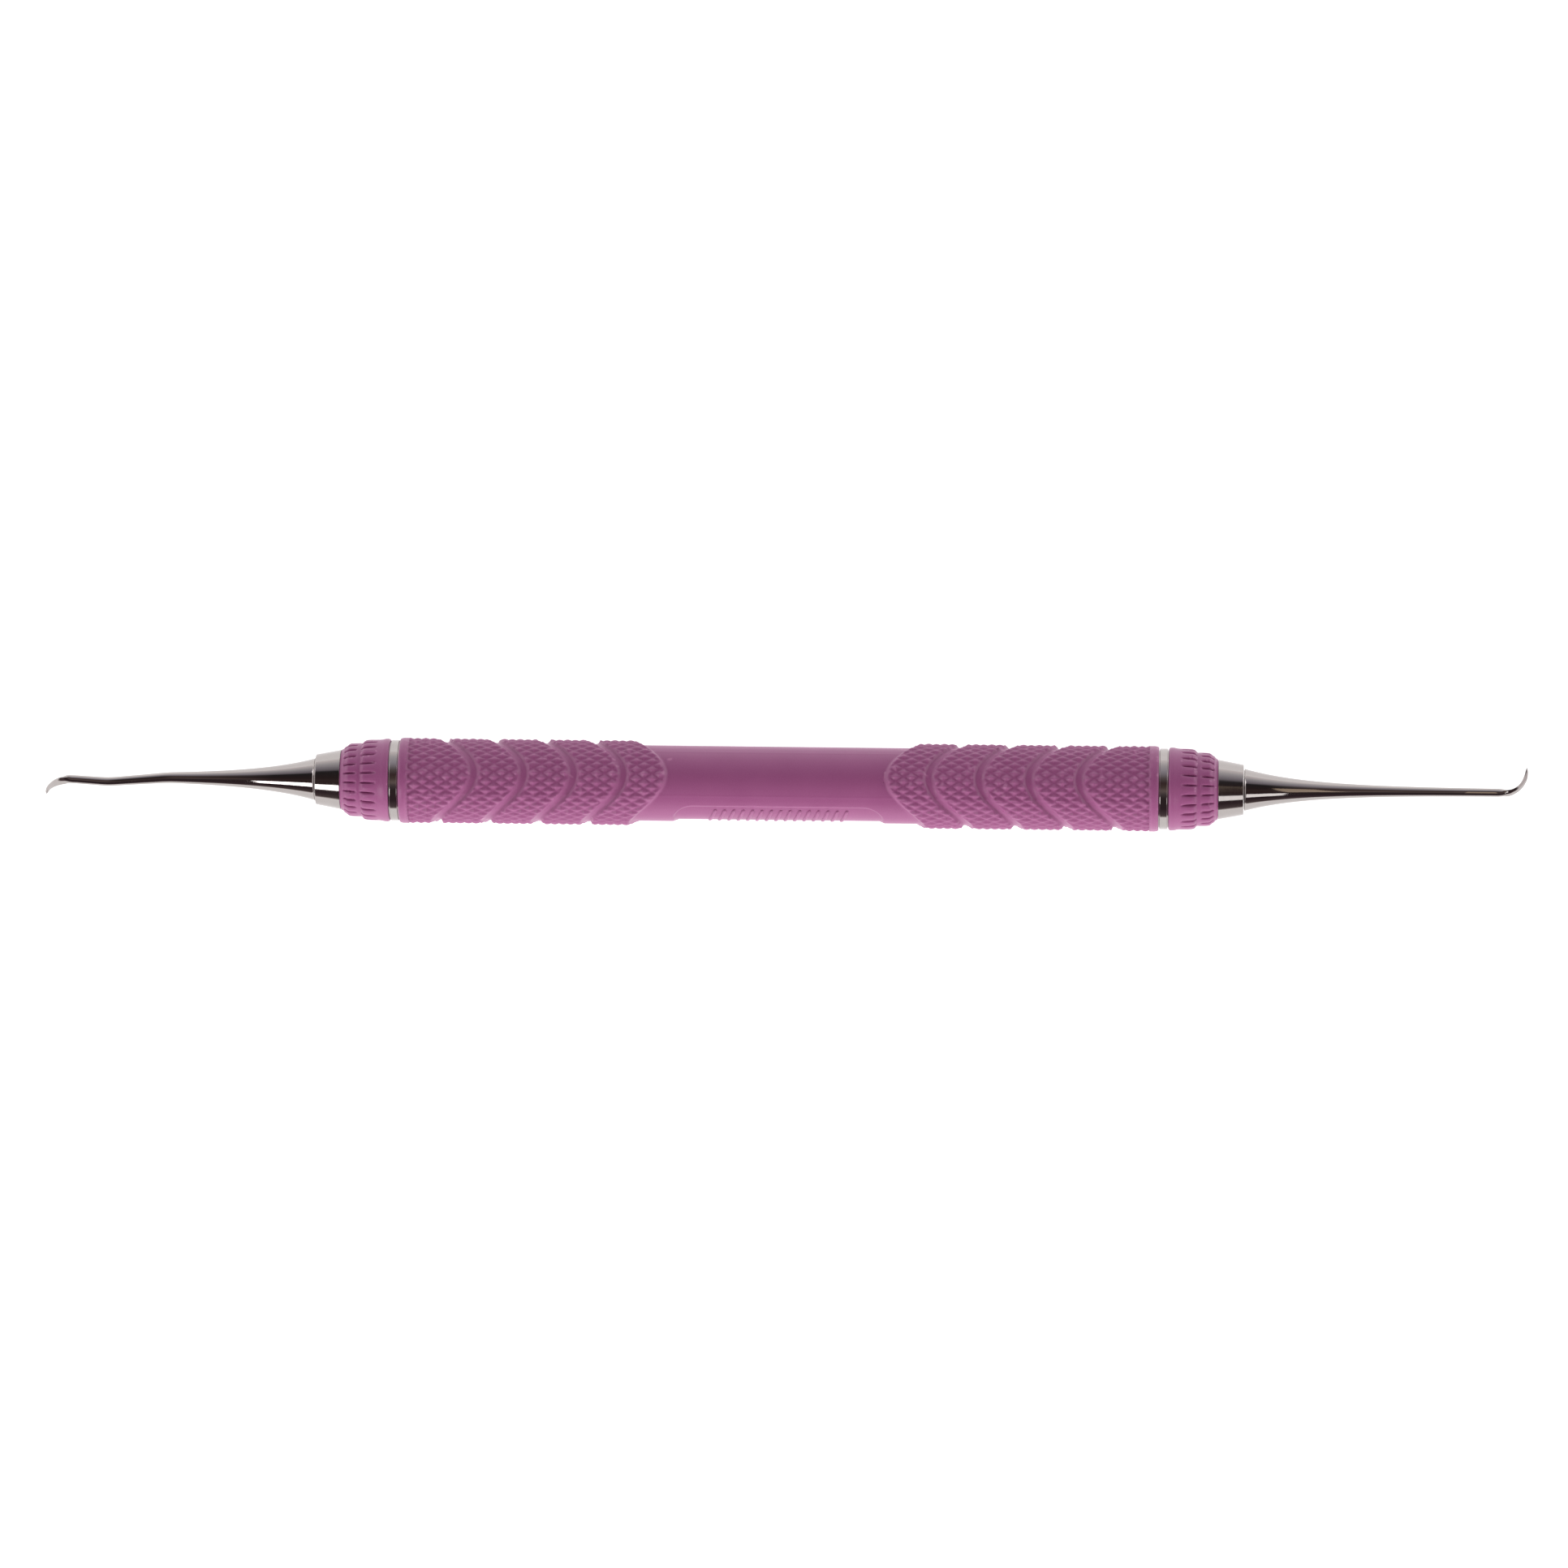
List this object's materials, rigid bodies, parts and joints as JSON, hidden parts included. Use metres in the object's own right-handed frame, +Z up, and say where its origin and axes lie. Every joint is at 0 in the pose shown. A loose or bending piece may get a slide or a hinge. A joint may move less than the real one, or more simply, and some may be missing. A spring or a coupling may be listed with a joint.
{
  "type": "dental hand scaler",
  "caption": "Double-ended dental hand scaler: hooked steel tips in turned ferrules on a thick textured resin grip over a steel core tube.",
  "frame": {"origin": "on the resting plane, under the middle of the overall length and width", "axes": "+X along the handle towards the right tip, +Y the way the right tip's hook points, +Z up from the surface it lies on"},
  "size_m": [0.1656, 0.0096, 0.0094],
  "materials": {
    "resin": "satin moulded resin, orchid purple",
    "polished_steel": "polished stainless steel",
    "tube_steel": "drawn stainless steel tube"
  },
  "bodies": {
    "root": {"grip_sleeve": "resin", "core_tube": "tube_steel", "left_spacer_ring": "polished_steel", "right_spacer_ring": "polished_steel", "left_nose_sleeve": "resin", "right_nose_sleeve": "resin", "left_ferrule": "polished_steel", "right_ferrule": "polished_steel", "left_tip": "polished_steel", "right_tip": "polished_steel"}
  },
  "joints": []
}
